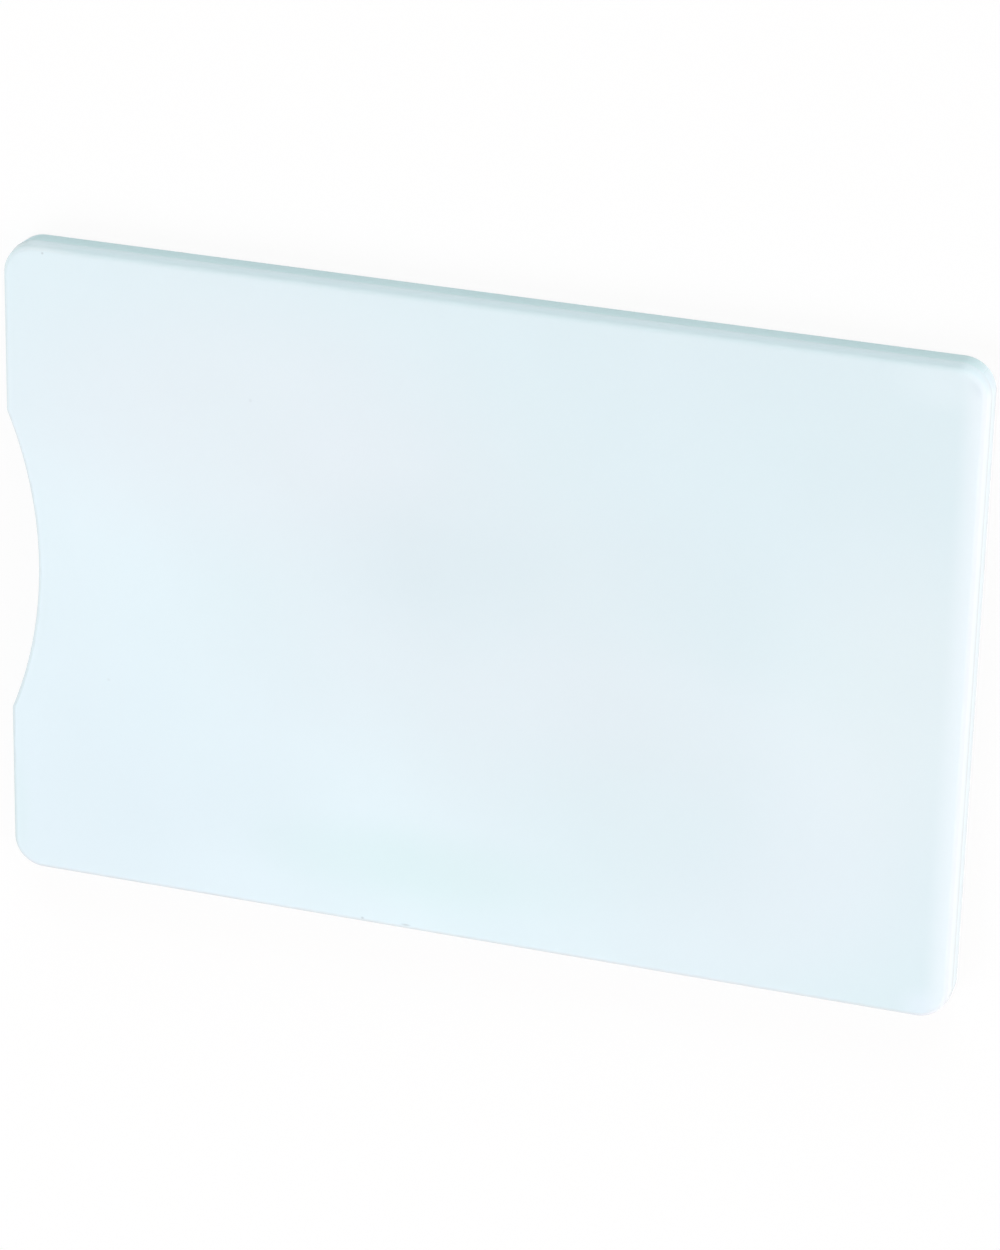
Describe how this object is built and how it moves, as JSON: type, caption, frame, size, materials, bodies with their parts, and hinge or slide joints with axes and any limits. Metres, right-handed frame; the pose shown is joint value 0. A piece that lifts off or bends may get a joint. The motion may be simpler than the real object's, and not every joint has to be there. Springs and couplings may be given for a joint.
{
  "type": "rfid card holder",
  "caption": "Slim rigid sleeve for a bank card, open at a short end, with a shallow thumb notch across the mouth and shielding foil inside its faces.",
  "frame": {"origin": "centre of the underside, on the flat rear face", "axes": "+X along the length from the mouth to the closed end, +Y across the width, +Z through the thickness from the rear face to the front face"},
  "size_m": [0.0874, 0.06, 0.0034],
  "materials": {
    "pale_blue_plastic": "gloss, moulded, opaque pale icy blue",
    "aluminium_foil": "bright foil",
    "adhesive_film": "thin milky adhesive film"
  },
  "bodies": {
    "root": {"front_shell": "pale_blue_plastic", "rear_shell": "pale_blue_plastic", "front_shield": "aluminium_foil", "rear_shield": "aluminium_foil", "front_film": "adhesive_film", "rear_film": "adhesive_film"}
  },
  "joints": []
}
